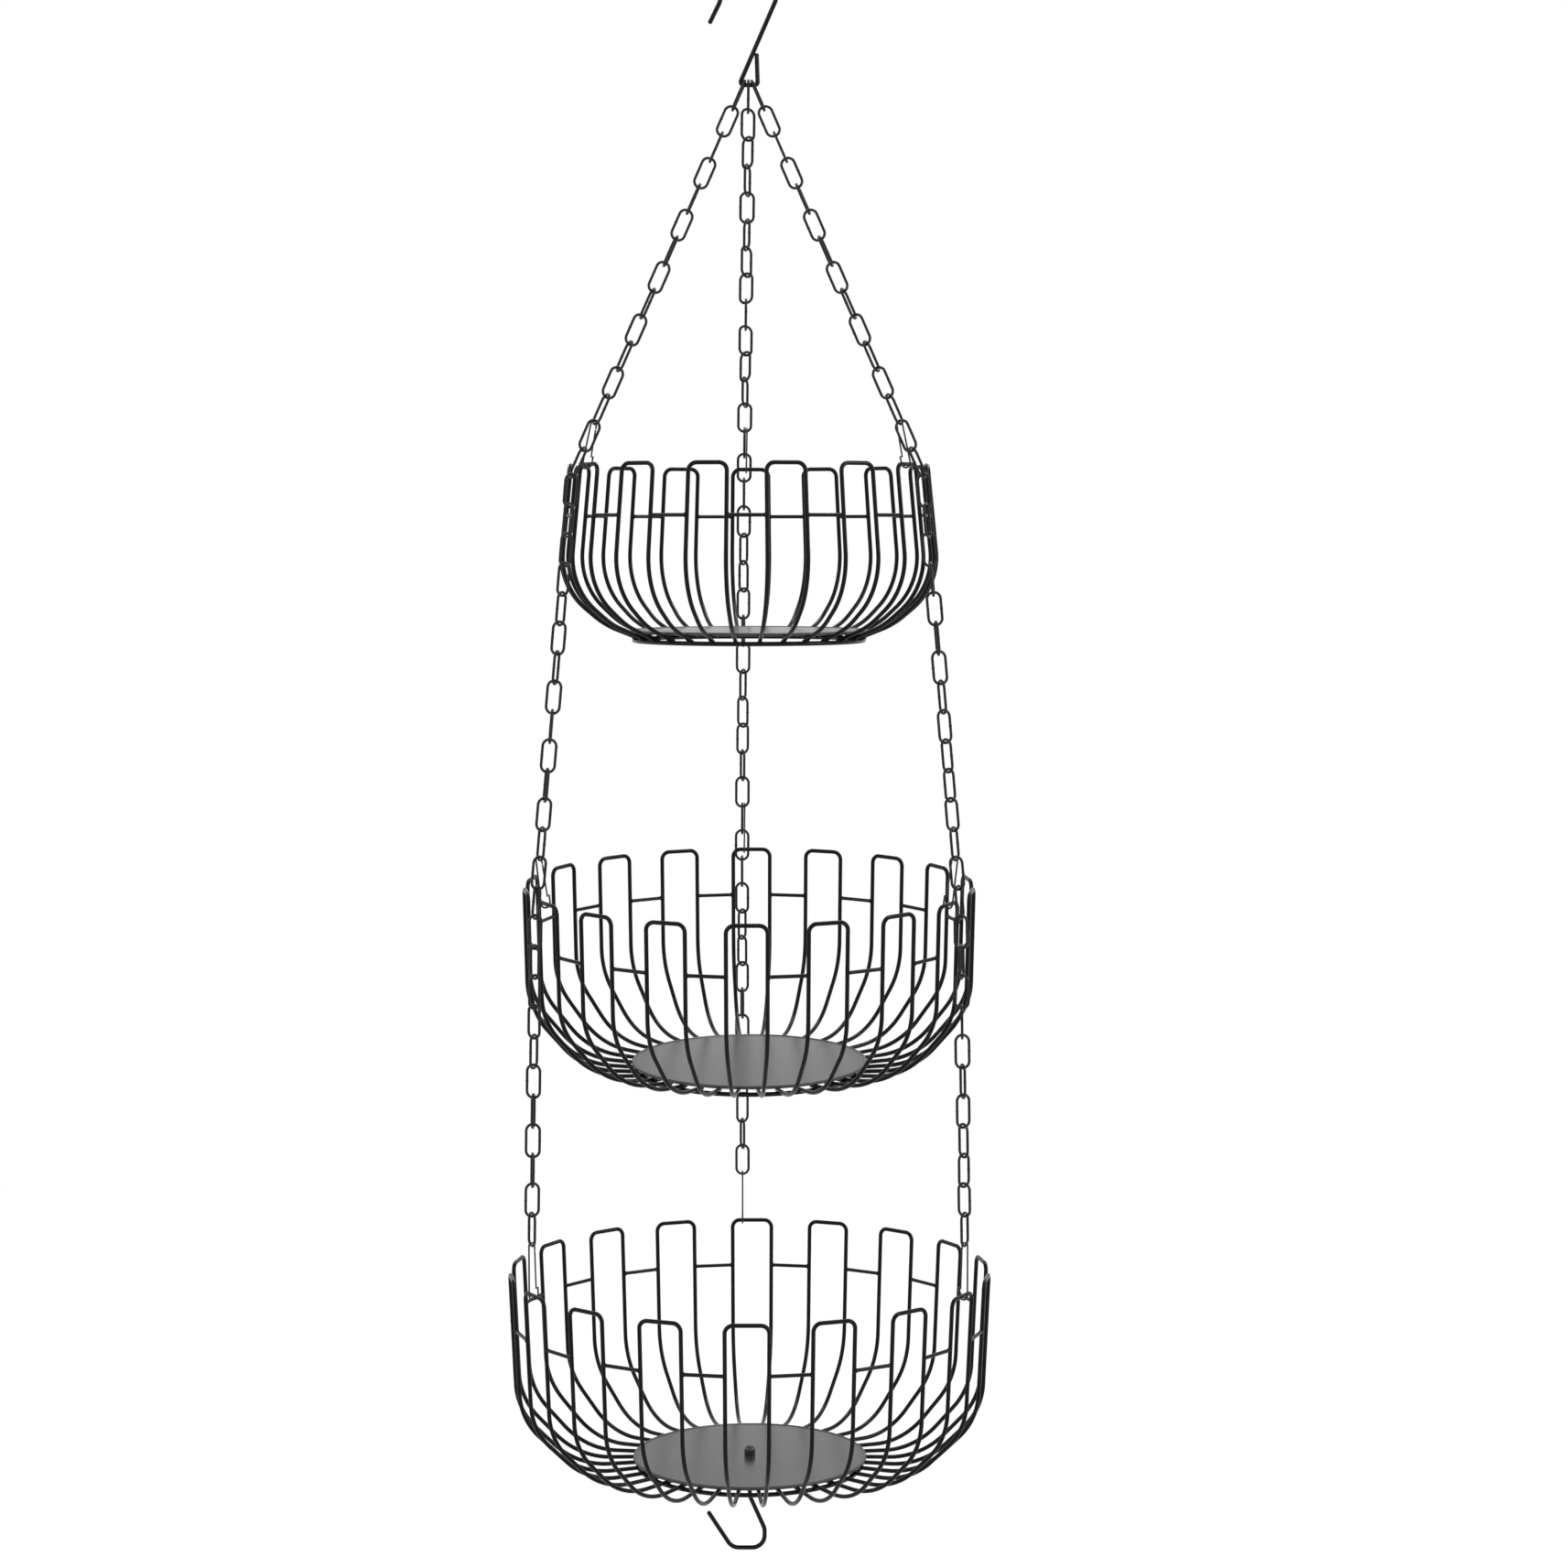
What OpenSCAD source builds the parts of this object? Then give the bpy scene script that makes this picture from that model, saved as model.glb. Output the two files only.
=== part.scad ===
// Three-tier hanging basket of bent wire: three open baskets with disc floors on one set of
// three chains, a hook to hang it by and a hook below the lowest floor.
// Millimetres, +Z up. The origin is the inside crest of the top hook, and the azimuth of a
// piece is counted from +X towards +Y. The front of the basket faces -Y.

/* [Tiers] */
// Depth of the top basket's rim below the origin
top_rim_drop = 308; // [260:1:360]
// Depth of the middle basket's rim below the top one's
middle_rim_drop = 264; // [225:1:310]
// Depth of the bottom basket's rim below the middle one's
bottom_rim_drop = 248; // [225:1:310]
// Lean of the top basket, front edge down
top_lean = -1.2; // [-2:0.1:2]
// Lean of the middle basket, front edge down
middle_lean = 2.4; // [-3:0.1:3]
// Lean of the bottom basket, front edge down
bottom_lean = -1.5; // [-3:0.1:3]

/* [Top basket] */
// Petals between two chains
top_petals = 5; // [4:1:7]
// Radius at the rim wire
top_rim_r = 112; // [100:1:124]
// Radius where the belly's straight lines would meet
top_belly_r = 119.5; // [112:0.5:130]
// Depth of that belly point
top_belly_drop = 74.7; // [66:0.5:80]
// Radius of the knee between belly and bottom
top_knee_r = 90.9; // [88:0.1:95]
// Depth of the knee
top_knee_drop = 99; // [95:0.5:108]
// Depth of the legs' inner ends
top_depth = 108; // [105:0.5:118]

/* [Middle basket] */
// Petals between two chains
middle_petals = 6; // [5:1:8]
// Radius at the rim wire
middle_rim_r = 142; // [130:0.5:150]
// Radius where the belly's straight lines would meet
middle_belly_r = 140.5; // [135:0.5:152]
// Depth of that belly point
middle_belly_drop = 75; // [66:0.5:82]
// Radius of the knee between belly and bottom
middle_knee_r = 107.5; // [102:0.5:112]
// Depth of the knee
middle_knee_drop = 113.5; // [108:0.5:116]
// Depth of the legs' inner ends
middle_depth = 116.8; // [114:0.1:120]

/* [Bottom basket] */
// Petals between two chains
bottom_petals = 6; // [5:1:8]
// Radius at the rim wire
bottom_rim_r = 153; // [144:0.5:160]
// Radius where the belly's straight lines would meet
bottom_belly_r = 149; // [143:0.5:157]
// Depth of that belly point
bottom_belly_drop = 88; // [78:0.5:94]
// Radius of the knee between belly and bottom
bottom_knee_r = 111; // [104:0.5:116]
// Depth of the knee
bottom_knee_drop = 125.5; // [120:0.5:127]
// Depth of the legs' inner ends
bottom_depth = 124; // [121:0.5:132]

/* [Basket wire] */
// Diameter of the petals' wire
petal_wire_d = 2.6; // [2:0.1:3.2]
// Diameter of the tie bars
tie_wire_d = 2.3; // [1.8:0.1:2.8]
// Diameter of the base ring's wire
ring_wire_d = 2.8; // [2.2:0.1:3.4]
// Bend radius at a petal's top corners
corner_r = 5; // [4:0.5:7]
// Bend radius of the belly
belly_bend_r = 42; // [34:1:44]
// Bend radius of the knee
knee_bend_r = 48; // [30:1:52]
// Depth of the tie bars below the rim
tie_drop = 31; // [24:0.5:38]
// Radius of the base ring
ring_r = 72; // [69:0.5:74]
// Radius at which the legs end under the floor
leg_end_r = 68; // [60:0.5:68]

/* [Floors] */
// Diameter of each floor plate
plate_d = 150; // [148:0.5:156]
// Thickness of each floor plate
plate_t = 1.2; // [0.8:0.1:2]
// Outer diameter of the plate's rolled edge
plate_edge_d = 2.2; // [2:0.1:3]

/* [Chain] */
// Wire of the links
link_wire_d = 1.7; // [1.4:0.1:2]
// Outer width of a link
link_w = 10; // [9:0.1:11]
// Wanted distance from one link to the next
link_pitch = 18.3; // [16:0.1:21]
// Wanted turn from one link to the next on the side chains
side_twist = 90; // [80:1:100]
// Wanted turn from one link to the next on the back chain
back_twist = 74; // [70:1:100]
// Distance of the chain from the rim wire where it passes the top basket
top_stand_off = 11; // [11:0.1:13]
// Distance of the chain from the rim wire where it passes the middle basket
middle_stand_off = 8; // [7:0.1:10]
// Depth below the rim at which the chain turns down
kink_drop = 7; // [5:0.5:8]
// Distance from the rim wire to the chain's lower end, outwards
end_out = 1; // [0.5:0.1:4]
// Height of the chain's lower end above the bottom rim
end_rise = 33; // [29:0.5:37]
// How far to the left of its petal's middle the back chain hangs on the top basket
top_slide = 4.5; // [0:0.5:5]
// The same on the middle basket
middle_slide = 6.5; // [0:0.5:6.5]
// The same on the bottom basket
bottom_slide = 6.5; // [0:0.5:6.5]

/* [Clips] */
// Wire of the clips
clip_wire_d = 1.1; // [0.9:0.05:1.2]
// Wire of the clips' spring gates
gate_wire_d = 1; // [0.8:0.05:1.1]
// Half the width of the clip's hook, to the wire's middle
clip_half_w = 3.1; // [3.1:0.05:3.2]
// Half the width of the clip's eye, to the wire's middle
eye_half_w = 1.85; // [1.8:0.01:1.9]
// Length of the eye's inner leg
eye_leg = 5; // [4:0.1:7]
// Height of the hook's tip above the rim wire
tip_rise = 5.5; // [4:0.1:7]

/* [Top hook] */
// Wire of both hooks
hook_wire_d = 2.8; // [2.4:0.1:3.2]
// Width of the upper bend, to the wire's middle
crest_w = 34.4; // [28:0.1:38]
// Height of the upper bend above the chains' seat
hook_h = 75; // [66:0.5:90]
// Length of the seat that carries the chains
seat_w = 11.5; // [11.5:0.1:14]
// Length of the seat's return leg
return_leg = 18.5; // [12:0.5:24]
// How far the return leg leans in at its end
return_lean = 0.6; // [0:0.1:2]
// Bend radius at both ends of the seat
seat_bend_r = 2; // [1.8:0.1:2.4]
// Depth of the slanting shank's upper end below the crest
shoulder_drop = 23; // [22:0.5:30]
// Distance that the upper bend's open end comes down before its lip
mouth_drop = 24; // [23:0.5:30]
// How far the lip stands out
lip_out = 6.5; // [3:0.5:9]
// How far the lip comes down
lip_drop = 13; // [8:0.5:16]
// Bend radius at the lip and at the shank's upper end
hook_bend_r = 10; // [6:0.5:12]

/* [Bottom hook] */
// Depth of the bottom hook's bend below the bottom rim
pendant_drop = 182; // [172:0.5:200]
// Half the width of the bottom hook's bend
pendant_r = 11.5; // [9:0.1:13]
// How far the bend's closed side stands in
pendant_waist = 2; // [0:0.5:4]
// Height of the bend's closed side
pendant_side = 12.6; // [11:0.1:16]
// How far the open side's lip stands out
pendant_lip_out = 15; // [10:0.5:20]
// Height of the open side's lip
pendant_lip_rise = 23; // [16:0.5:28]
// Bend radius of the bottom hook
pendant_bend_r = 8; // [6:0.5:9]
// Length of the shank that comes down straight from the nut
shank_len = 30; // [20:1:40]
// Outer diameter of the cap nut
nut_d = 7; // [6.5:0.1:9]
// Height of the cap nut, dome and all
nut_h = 6.5; // [5:0.1:9]

/* [Hidden] */

// Basket numbers and chain azimuths
TOP = 0;
MIDDLE = 1;
BOTTOM = 2;
LEFT = 210;
RIGHT = 330;
BACK = 90;
BLACK = "#1b1b1c";
PLATE_GREY = "#3a3a3c";

// Clearances: running play in chains and clips, the gap between pieces that only touch,
// and how far a welded wire runs into the next one
play = 0.4;
touch = 0.05;
weld = 0.5;
// How far a straight stretch of wire runs into a bend, and how much thicker a bend is drawn
lap = 0.15;
bend_swell = 1.015;
// A link's straight sides come in whole steps, so that they meet its bends exactly
side_step = 0.002;
// Clearance round the bottom hook's shank in the floor
shank_play = 0.2;
// Links that lie between a clip's eye and the turn at the rim
links_past_clip = 2;
// Sides of the round forms
wire_sides = 24;
bend_sides = 64;
plate_sides = 96;
nut_sides = 48;
// Bend radius of a clip's open corners, against the most that fits
clip_ease = 0.97;

rim_z = [
    -top_rim_drop,
    -top_rim_drop - middle_rim_drop,
    -top_rim_drop - middle_rim_drop - bottom_rim_drop
];
lean = [top_lean, middle_lean, bottom_lean];
petals = [3 * top_petals, 3 * middle_petals, 3 * bottom_petals];
rim_r = [top_rim_r, middle_rim_r, bottom_rim_r];
stand_off = [top_stand_off, middle_stand_off];
slide = [top_slide, middle_slide, bottom_slide];

// Half profiles of the three baskets from the rim to the legs' ends: [radius, height]
profile = [
    [[top_rim_r, 0], [top_belly_r, -top_belly_drop],
     [top_knee_r, -top_knee_drop], [leg_end_r, -top_depth]],
    [[middle_rim_r, 0], [middle_belly_r, -middle_belly_drop],
     [middle_knee_r, -middle_knee_drop], [leg_end_r, -middle_depth]],
    [[bottom_rim_r, 0], [bottom_belly_r, -bottom_belly_drop],
     [bottom_knee_r, -bottom_knee_drop], [leg_end_r, -bottom_depth]]
];

// Height of the seat wire, which carries the chains, and of the crest's wire
crest_z = hook_wire_d / 2;
seat_z = crest_z - hook_h;

// Points and directions

function unit(v) = v / norm(v);
function outward(az) = [cos(az), sin(az), 0];
function around(az) = [-sin(az), cos(az), 0];
function leaned(b, p) = [
    p.x,
    p.y * cos(lean[b]) - p.z * sin(lean[b]),
    p.y * sin(lean[b]) + p.z * cos(lean[b]) + rim_z[b]
];
function rim_point(b, az) =
    leaned(b, rim_r[b] * outward(az) + (az == BACK ? slide[b] : 0) * around(az));
// Where a chain turns down outside the rim of basket b, or ends above the bottom rim
function kink(b, az) = b == BOTTOM
    ? rim_point(b, az) + end_out * outward(az) + [0, 0, end_rise]
    : rim_point(b, az) + stand_off[b] * outward(az) - [0, 0, kink_drop];
// The left chain's first link hangs at the left of the seat, the back one's in the middle
function seat_point(az) = [link_gap * round(cos(az)), 0, seat_z];
link_gap = link_wire_d + hook_wire_d / 2;
seat_drop = hook_wire_d / 2 + play / 2;

// A run of chain goes from the seat or a kink down to the next kink
function run_end(b, az) = kink(b, az);
function run_start(b, az) = b == TOP
    ? seat_point(az) - seat_drop * unit(kink(TOP, az) - seat_point(az))
    : kink(b - 1, az);
function run_dir(b, az) = unit(run_end(b, az) - run_start(b, az));
function run_count(b, az) = round(norm(run_end(b, az) - run_start(b, az)) / link_pitch);
function run_pitch(b, az) = norm(run_end(b, az) - run_start(b, az)) / run_count(b, az);

// The link that a clip hangs on lies across the clip, so its turn is set and the turns
// before it are shared out evenly
function clip_link(b, az) = run_count(b, az) - 1 - (b == BOTTOM ? 0 : links_past_clip);
function first_turn(b, az) = b == TOP ? atan2(-cos(az), -sin(az)) : 0;
function clip_turn() = 90;
function wanted_twist(az) = az == BACK ? back_twist : side_twist;
function half_turns(b, az) = round(
    (wanted_twist(az) * clip_link(b, az) - clip_turn() + first_turn(b, az)) / 180);
function twist(b, az) =
    (clip_turn() - first_turn(b, az) + 180 * half_turns(b, az)) / clip_link(b, az);
// Past the clip the links cross square, so that they lie clear of the clip beside them
function link_turn(b, az, j) = j > clip_link(b, az)
    ? clip_turn() * (1 + j - clip_link(b, az))
    : first_turn(b, az) + j * twist(b, az);

// The pivot below the clip's link
function clip_pivot(b, az) =
    run_start(b, az) + (clip_link(b, az) + 1) * run_pitch(b, az) * run_dir(b, az);
// A clip stands beside the next link, or in line where the chain ends
function clip_side(b) = b == BOTTOM ? 0 : -(link_wire_d + clip_wire_d) / 2 - play / 2;
link_bend_r = (link_w - link_wire_d) / 2;
function clip_seat(b, az) =
    clip_pivot(b, az) + clip_side(b) * around(az)
    + ((link_wire_d + play) / 2 - link_bend_r + sqrt(pow(link_bend_r, 2) - pow(clip_side(b), 2)))
    * run_dir(b, az);
function clip_foot(b, az) = rim_point(b, az) + clip_side(b) * around(az);
function clip_len(b, az) = norm(clip_seat(b, az) - clip_foot(b, az));
eye_rise = (link_wire_d + clip_wire_d) / 2 + play;
hook_sink = (petal_wire_d + clip_wire_d) / 2 + play / 2;
function gate_pivot(b, az) = clip_len(b, az) + eye_rise - eye_leg - play / 2;
gate_lap = 1;

// Puts local X, Y and Z along three directions, with the origin at a point
module placed(x, y, z, at) {
    multmatrix([
        [x.x, y.x, z.x, at.x],
        [x.y, y.y, z.y, at.y],
        [x.z, y.z, z.z, at.z],
        [0, 0, 0, 1]
    ]) children();
}

// Bent wire

function dir(p, i) = unit(p[i + 1] - p[i]);
function turn(p, i) = acos(dir(p, i - 1) * dir(p, i));
function inner(p, i) = i > 0 && i < len(p) - 1;
function cut(p, r, i) = inner(p, i) ? r[i] * tan(turn(p, i) / 2) - lap : 0;

module rod(a, b, d) {
    v = b - a;
    translate(a)
        rotate([0, acos(v.z / norm(v)), atan2(v.y, v.x)])
            cylinder(d = d, h = norm(v), $fn = wire_sides);
}

module bend(p, r, i, d) {
    u = dir(p, i - 1);
    w = dir(p, i);
    n = unit(w - (w * u) * u);
    start = p[i] - (cut(p, r, i) + lap) * u;
    placed(-n, u, cross(u, n), start + r[i] * n)
        rotate_extrude(angle = turn(p, i), $fn = bend_sides)
            translate([r[i], 0]) circle(d = d * bend_swell, $fn = wire_sides);
}

// A round wire through the points p, bent to the radii r at its inner points
module wire(p, r, d) {
    union() {
        for (i = [0:len(p) - 2])
            rod(p[i] + cut(p, r, i) * dir(p, i), p[i + 1] - cut(p, r, i + 1) * dir(p, i), d);
        for (i = [1:len(p) - 2])
            bend(p, r, i, d);
    }
}

// Baskets

function half_gap(b) = 90 / petals[b];
function leg(b, a) = [for (q = profile[b]) [q.x * cos(a), q.x * sin(a), q.y]];
function backwards(list) = [for (i = [len(list) - 1:-1:0]) list[i]];

// One petal at azimuth 0: up one leg, over the top bar and down the other leg
module petal(b) {
    path = concat(backwards(leg(b, -half_gap(b))), leg(b, half_gap(b)));
    bends = [0, knee_bend_r, belly_bend_r, corner_r, corner_r, belly_bend_r, knee_bend_r, 0];
    wire(path, bends, petal_wire_d);
}

module in_basket(b) {
    translate([0, 0, rim_z[b]]) rotate([lean[b], 0, 0]) children();
}

// A third of the basket's petals, centred on one chain
module petal_third(b, az) {
    third = petals[b] / 3;
    first = -floor(third / 2);
    color(BLACK) in_basket(b)
        for (i = [first:first + third - 1])
            rotate(az + 360 / petals[b] * i) petal(b);
}

// Radius of the legs at a depth on their upper, straight stretch
function leg_r(b, depth) =
    rim_r[b] + (profile[b][1].x - rim_r[b]) * depth / -profile[b][1].y;
// Height of the legs at a radius on their last, straight stretch
function leg_z(b, r) =
    profile[b][3].y + (profile[b][2].y - profile[b][3].y)
    * (r - leg_end_r) / (profile[b][2].x - leg_end_r);
function leg_slope(b) =
    atan2(profile[b][2].y - profile[b][3].y, profile[b][2].x - leg_end_r);

module ties(b) {
    r = leg_r(b, tie_drop);
    reach = r * sin(half_gap(b)) - petal_wire_d / 2 + weld;
    color(BLACK) in_basket(b)
        for (i = [0:petals[b] - 1])
            rotate(BACK + 360 / petals[b] * (i + 0.5))
                translate([r * cos(half_gap(b)), reach, -tie_drop])
                    rotate([90, 0, 0]) cylinder(d = tie_wire_d, h = 2 * reach, $fn = wire_sides);
}

module base_ring(b) {
    below = (petal_wire_d + ring_wire_d) / 2 / cos(leg_slope(b)) - weld;
    color(BLACK) in_basket(b)
        translate([0, 0, leg_z(b, ring_r) - below])
            rotate_extrude($fn = bend_sides)
                translate([ring_r, 0]) circle(d = ring_wire_d, $fn = wire_sides);
}

// Underside of the floor, which rests on the legs at its edge
edge_mid_r = (plate_d - plate_edge_d) / 2;
function plate_z(b) =
    leg_z(b, edge_mid_r) + petal_wire_d / 2 / cos(leg_slope(b)) + plate_edge_d / 2 / cos(leg_slope(b))
    + touch;

// A disc with a rolled edge. The bottom basket's floor has a hole for the hook's shank.
module plate(b, hole) {
    color(PLATE_GREY) in_basket(b) translate([0, 0, plate_z(b)]) difference() {
        rotate_extrude($fn = plate_sides) {
            translate([0, -plate_t / 2]) square([edge_mid_r, plate_t]);
            translate([edge_mid_r, 0]) circle(d = plate_edge_d, $fn = wire_sides);
        }
        if (hole) translate([0, 0, -plate_t]) cylinder(d = hook_wire_d + 2 * shank_play,
                                                      h = 2 * plate_t, $fn = wire_sides);
    }
}

// Chains

module link(pitch) {
    side = side_step * round((pitch + 2 * link_wire_d + play - link_w) / side_step);
    union() {
        for (x = [-link_bend_r, link_bend_r])
            translate([x, 0, -side / 2]) cylinder(d = link_wire_d, h = side, $fn = wire_sides);
        for (tip = [0, 180])
            rotate([tip, 0, 0]) translate([0, 0, side / 2]) rotate([90, 0, 0])
                rotate_extrude(angle = 180, $fn = bend_sides)
                    translate([link_bend_r, 0]) circle(d = link_wire_d, $fn = wire_sides);
    }
}

// Links from to to of one run
module links(b, az, from, to) {
    d = run_dir(b, az);
    y = unit(around(az) - (around(az) * d) * d);
    color(BLACK)
        for (j = [from:to])
            placed(cross(d, y), y, -d, run_start(b, az) + (j + 0.5) * run_pitch(b, az) * d)
                rotate(link_turn(b, az, j)) link(run_pitch(b, az));
}

module upper_chain(az) { links(TOP, az, 0, run_count(TOP, az) - 1); }
module middle_chain(az) { links(MIDDLE, az, 0, clip_link(MIDDLE, az)); }
module lower_chain(az) { links(BOTTOM, az, 0, run_count(BOTTOM, az) - 1); }
// The links that pass the middle rim hang with the middle basket
module middle_chain_ends() {
    for (az = [LEFT, RIGHT, BACK])
        links(MIDDLE, az, clip_link(MIDDLE, az) + 1, run_count(MIDDLE, az) - 1);
}

// Clips: local Z runs from the rim wire to the eye, local X outwards

module at_clip(b, az) {
    z = unit(clip_seat(b, az) - clip_foot(b, az));
    y = unit(around(az) - (around(az) * z) * z);
    placed(cross(y, z), y, z, clip_foot(b, az)) children();
}

module clip(b, az) {
    top = clip_len(b, az) + eye_rise;
    path = [
        [-clip_half_w, 0, tip_rise],
        [-clip_half_w, 0, -hook_sink],
        [clip_half_w, 0, -hook_sink],
        [eye_half_w, 0, top],
        [-eye_half_w, 0, top],
        [-eye_half_w, 0, top - eye_leg]
    ];
    hook_r = clip_half_w - lap;
    eye_r = eye_half_w - lap;
    bends = [0, hook_r, hook_r * clip_ease, eye_r * clip_ease, eye_r, 0];
    color(BLACK) at_clip(b, az) wire(path, bends, clip_wire_d);
}

module gate(b, az) {
    reach = gate_pivot(b, az) - play / 2 - tip_rise + gate_lap;
    color(BLACK) at_clip(b, az) translate([-eye_half_w, 0, tip_rise - gate_lap])
        cylinder(d = gate_wire_d, h = reach, $fn = wire_sides);
}

// Hooks

// The seat's middle lies below the middle of the crest
module top_hook() {
    left = -crest_w / 2;
    right = crest_w / 2;
    mouth_z = crest_z - mouth_drop;
    crest_r = crest_w / 2 - lap;
    path = [
        [left - lip_out, 0, mouth_z - lip_drop],
        [left, 0, mouth_z],
        [left, 0, crest_z],
        [right, 0, crest_z],
        [right, 0, crest_z - shoulder_drop],
        [-seat_w / 2, 0, seat_z],
        [seat_w / 2, 0, seat_z],
        [seat_w / 2 - return_lean, 0, seat_z + return_leg]
    ];
    bends = [0, hook_bend_r, crest_r, crest_r, hook_bend_r, seat_bend_r, seat_bend_r, 0];
    color(BLACK) wire(path, bends, hook_wire_d);
}

// Height of the nut's straight part, in which the shank ends
collar_h = nut_h - nut_d / 2;

// The bottom hook stands square to the floor that it passes through
module bottom_hook() {
    top_z = plate_z(BOTTOM) + plate_t / 2 + collar_h;
    closed_x = pendant_r - pendant_waist;
    path = [
        [0, 0, top_z],
        [0, 0, top_z - shank_len],
        [closed_x, 0, pendant_side - pendant_drop],
        [closed_x, 0, -pendant_drop],
        [-pendant_r, 0, -pendant_drop],
        [-pendant_r - pendant_lip_out, 0, pendant_lip_rise - pendant_drop]
    ];
    bends = [0, pendant_bend_r, pendant_bend_r, pendant_bend_r, pendant_bend_r, 0];
    color(BLACK) in_basket(BOTTOM) wire(path, bends, hook_wire_d);
}

// A domed nut. Its blind bore is a little wider and deeper than the shank's end.
module cap_nut() {
    color(BLACK) in_basket(BOTTOM) translate([0, 0, plate_z(BOTTOM) + plate_t / 2 + touch])
        difference() {
            union() {
                cylinder(d = nut_d, h = collar_h, $fn = nut_sides);
                translate([0, 0, collar_h]) intersection() {
                    sphere(d = nut_d, $fn = nut_sides);
                    translate([0, 0, nut_d / 2]) cube(nut_d, center = true);
                }
            }
            translate([0, 0, -play])
                cylinder(d = hook_wire_d + 2 * touch, h = collar_h + 2 * play, $fn = wire_sides);
        }
}

top_hook();
upper_chain(LEFT);  // upper_chain_left
upper_chain(RIGHT);  // upper_chain_right
upper_chain(BACK);  // upper_chain_back
middle_chain(LEFT);  // middle_chain_left
middle_chain(RIGHT);  // middle_chain_right
middle_chain(BACK);  // middle_chain_back
middle_chain_ends();
lower_chain(LEFT);  // lower_chain_left
lower_chain(RIGHT);  // lower_chain_right
lower_chain(BACK);  // lower_chain_back
clip(TOP, LEFT);  // top_clip_left
clip(TOP, RIGHT);  // top_clip_right
clip(TOP, BACK);  // top_clip_back
clip(MIDDLE, LEFT);  // middle_clip_left
clip(MIDDLE, RIGHT);  // middle_clip_right
clip(MIDDLE, BACK);  // middle_clip_back
clip(BOTTOM, LEFT);  // bottom_clip_left
clip(BOTTOM, RIGHT);  // bottom_clip_right
clip(BOTTOM, BACK);  // bottom_clip_back
gate(TOP, LEFT);  // top_gate_left
gate(TOP, RIGHT);  // top_gate_right
gate(TOP, BACK);  // top_gate_back
gate(MIDDLE, LEFT);  // middle_gate_left
gate(MIDDLE, RIGHT);  // middle_gate_right
gate(MIDDLE, BACK);  // middle_gate_back
gate(BOTTOM, LEFT);  // bottom_gate_left
gate(BOTTOM, RIGHT);  // bottom_gate_right
gate(BOTTOM, BACK);  // bottom_gate_back
petal_third(TOP, LEFT);  // top_petals_left
petal_third(TOP, RIGHT);  // top_petals_right
petal_third(TOP, BACK);  // top_petals_back
petal_third(MIDDLE, LEFT);  // middle_petals_left
petal_third(MIDDLE, RIGHT);  // middle_petals_right
petal_third(MIDDLE, BACK);  // middle_petals_back
petal_third(BOTTOM, LEFT);  // bottom_petals_left
petal_third(BOTTOM, RIGHT);  // bottom_petals_right
petal_third(BOTTOM, BACK);  // bottom_petals_back
ties(TOP);  // top_ties
ties(MIDDLE);  // middle_ties
ties(BOTTOM);  // bottom_ties
base_ring(TOP);  // top_ring
base_ring(MIDDLE);  // middle_ring
base_ring(BOTTOM);  // bottom_ring
plate(TOP, false);  // top_plate
plate(MIDDLE, false);  // middle_plate
plate(BOTTOM, true);  // bottom_plate
bottom_hook();
cap_nut();
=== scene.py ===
# %% [markdown]
# # A hanging basket in three tiers
# Three open baskets of bent black wire hang below each other on one set of chains. The measured
# model already holds every wire, link and clip at its true size. This lesson dresses it: it
# gives each piece the finish of the real thing, adds the small marks that making leaves, such as
# welds and rounded wire ends, and sets it in a bright studio.

# %% Load the measured model
import math

import bpy
from mathutils import Matrix, Vector


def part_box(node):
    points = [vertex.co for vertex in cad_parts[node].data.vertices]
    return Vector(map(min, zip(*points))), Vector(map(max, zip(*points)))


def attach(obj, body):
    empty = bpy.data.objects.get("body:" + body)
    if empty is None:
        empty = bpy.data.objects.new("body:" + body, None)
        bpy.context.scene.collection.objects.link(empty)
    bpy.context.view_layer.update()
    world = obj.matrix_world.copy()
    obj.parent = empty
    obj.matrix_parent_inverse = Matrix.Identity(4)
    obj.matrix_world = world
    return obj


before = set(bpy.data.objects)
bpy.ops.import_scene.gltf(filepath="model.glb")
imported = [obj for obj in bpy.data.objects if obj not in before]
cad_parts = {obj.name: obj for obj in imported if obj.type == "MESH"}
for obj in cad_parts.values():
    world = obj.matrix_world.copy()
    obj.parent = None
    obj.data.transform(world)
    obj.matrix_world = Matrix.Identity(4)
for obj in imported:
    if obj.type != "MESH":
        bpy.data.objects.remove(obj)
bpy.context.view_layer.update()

print("pieces of the measured model:", len(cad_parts))

# %% [markdown]
# ## The camera
# The photograph was taken from a little above the top basket, about two metres away. The floors
# of the three baskets show how far: each is an ellipse, and the lower it hangs, the rounder it
# looks. A camera that gives all three their right roundness stands at one place only.

# %% Set up the camera
CAMERA_PLACE = (0.022, -2.03378, -0.3075)
CAMERA_TILT = -0.0981507
PICTURE_ANGLE = math.radians(27.228)

lens = bpy.data.cameras.new("studio_camera")
lens.sensor_fit = "HORIZONTAL"
lens.angle = PICTURE_ANGLE
camera = bpy.data.objects.new("studio_camera", lens)
camera.location = CAMERA_PLACE
camera.rotation_euler = (math.pi / 2 + CAMERA_TILT, 0, 0)
bpy.context.scene.collection.objects.link(camera)
bpy.context.scene.camera = camera
bpy.context.scene.view_settings.view_transform = "Standard"
print("camera height below the hook's crest:", CAMERA_PLACE[2])

# %% [markdown]
# ## Shader sums in plain Python
# A procedural finish is mostly arithmetic on readings of the surface: how high it is here, how
# far from the middle, how worn. The class below wraps one socket, so that `1 - wear * 0.5` adds
# the Math nodes by itself. Any other node comes from its one `node` method, and the same method
# serves the trees of Geometry Nodes further down.

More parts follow.
